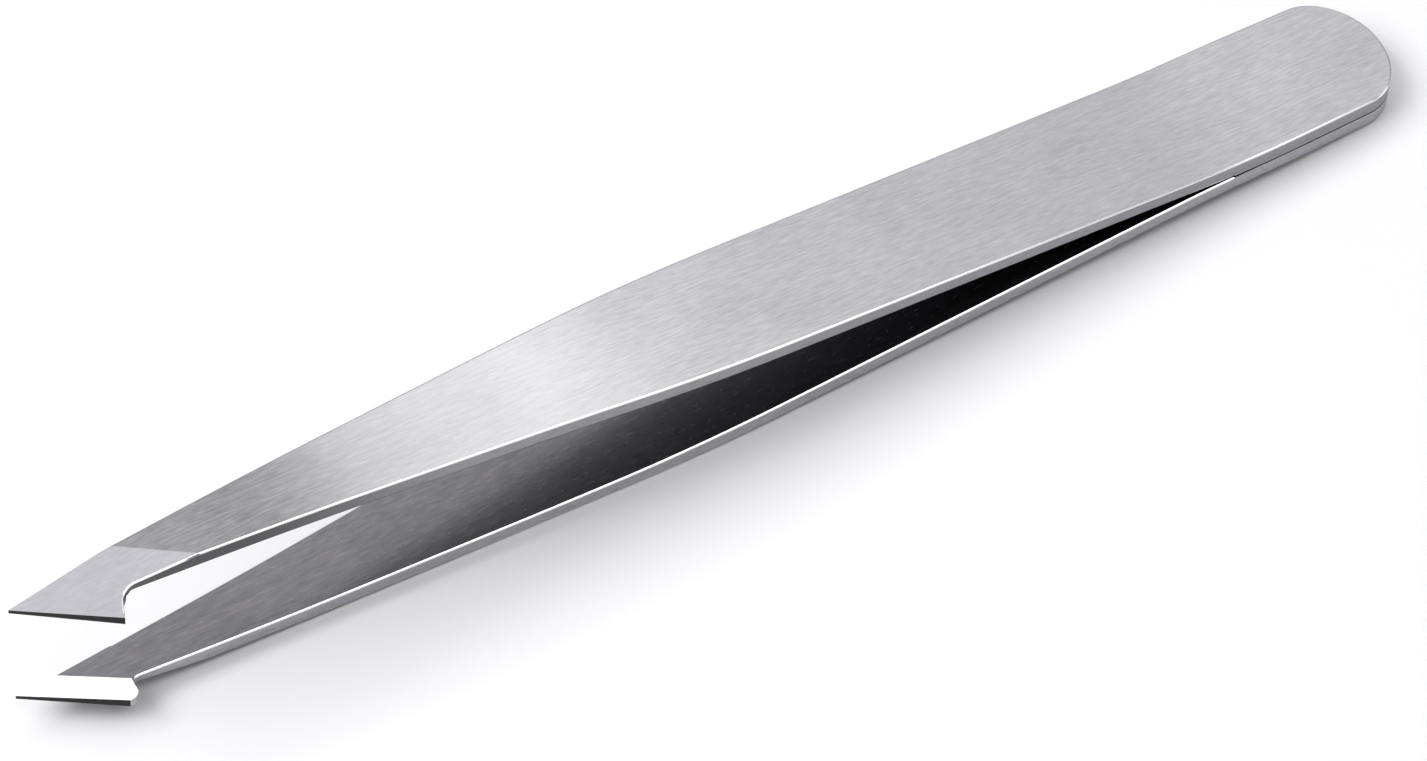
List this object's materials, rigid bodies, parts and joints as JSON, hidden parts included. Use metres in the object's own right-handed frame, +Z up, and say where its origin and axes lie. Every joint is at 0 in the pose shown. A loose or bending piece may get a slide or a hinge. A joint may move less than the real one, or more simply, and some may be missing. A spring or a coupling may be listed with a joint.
{
  "type": "slant tweezers",
  "caption": "Steel tweezers with springy arms welded at a rounded heel, ground outer facets and hooked, slanted tips that meet on flat polished lands.",
  "frame": {"origin": "on the table, under the middle of the tweezers as they lie on the butt and the shoulder of the lower arm", "axes": "+X from the round butt towards the tips, +Y across the arms towards the hooked corner of the slant edge, +Z up"},
  "size_m": [0.0952, 0.0092, 0.0107],
  "materials": {
    "arm_steel": "brushed along the arms, with polished edge chamfers and lands",
    "weld_steel": "dull fused steel"
  },
  "bodies": {
    "heel": {"upper_arm_heel": "arm_steel", "lower_arm_heel": "arm_steel", "weld_nugget_rear": "weld_steel", "weld_nugget_front": "weld_steel"},
    "upper_blade": {"upper_arm_blade": "arm_steel"},
    "lower_blade": {"lower_arm_blade": "arm_steel"}
  },
  "joints": [
    {"name": "upper_arm_flex", "type": "hinge", "parent": "heel", "child": "upper_blade", "pos_m": [-0.0215, 0, 0.00377], "axis": [0, 1, 0], "range_deg": [0, 3.2], "stiffness_Nm_per_rad": 1.5},
    {"name": "lower_arm_flex", "type": "hinge", "parent": "heel", "child": "lower_blade", "pos_m": [-0.02136, 0, 0.00105], "axis": [0, -1, 0], "range_deg": [0, 3.2], "stiffness_Nm_per_rad": 1.5}
  ]
}
